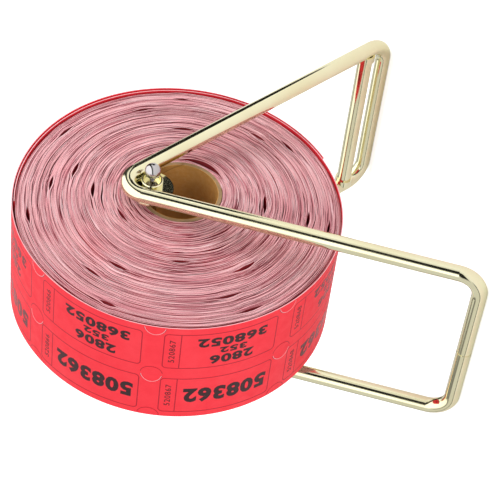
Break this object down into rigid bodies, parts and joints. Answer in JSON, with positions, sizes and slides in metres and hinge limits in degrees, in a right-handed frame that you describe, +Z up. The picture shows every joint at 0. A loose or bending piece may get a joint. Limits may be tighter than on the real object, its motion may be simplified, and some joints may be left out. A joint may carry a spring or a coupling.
{
  "type": "counter ticket roll stand",
  "caption": "Brass-plated wire A-frame stand that carries a paper ticket roll on a pull-out pin and lets the strip out past a tear bar.",
  "frame": {"origin": "on the counter, at the middle of the wire frame's footprint", "axes": "+Z up; the pin and the roll's axis lie along Y with the pin's ball at -Y; the tear bar is at the +X foot"},
  "size_m": [0.1364, 0.0902, 0.1645],
  "materials": {
    "gold_wire": "polished pale brass plate",
    "silver": "polished",
    "card": "raw card",
    "roll_paper": "cut edges of many turns",
    "strip_paper": "uncoated coral red paper"
  },
  "bodies": {
    "frame": {"wire_frame": "gold_wire", "crossbar_weld": "gold_wire", "tear_bar": "gold_wire", "tear_bar_welds": "gold_wire", "front_washer": "gold_wire", "back_washer": "gold_wire", "front_bush": "gold_wire", "back_bush": "gold_wire", "washer_brazes": "gold_wire"},
    "pin": {"spindle_pin": "silver", "pin_ball": "silver"},
    "roll": {"card_core": "card", "ticket_roll": "roll_paper", "ticket_strip": "strip_paper"}
  },
  "joints": [
    {"name": "roll_spin", "type": "hinge", "parent": "frame", "child": "roll", "pos_m": [0, 0, 0.1014], "axis": [0, 1, 0], "continuous": true},
    {"name": "pin_slide", "type": "slide", "parent": "frame", "child": "pin", "axis": [0, -1, 0], "range_m": [-0.002, 0.084]}
  ]
}
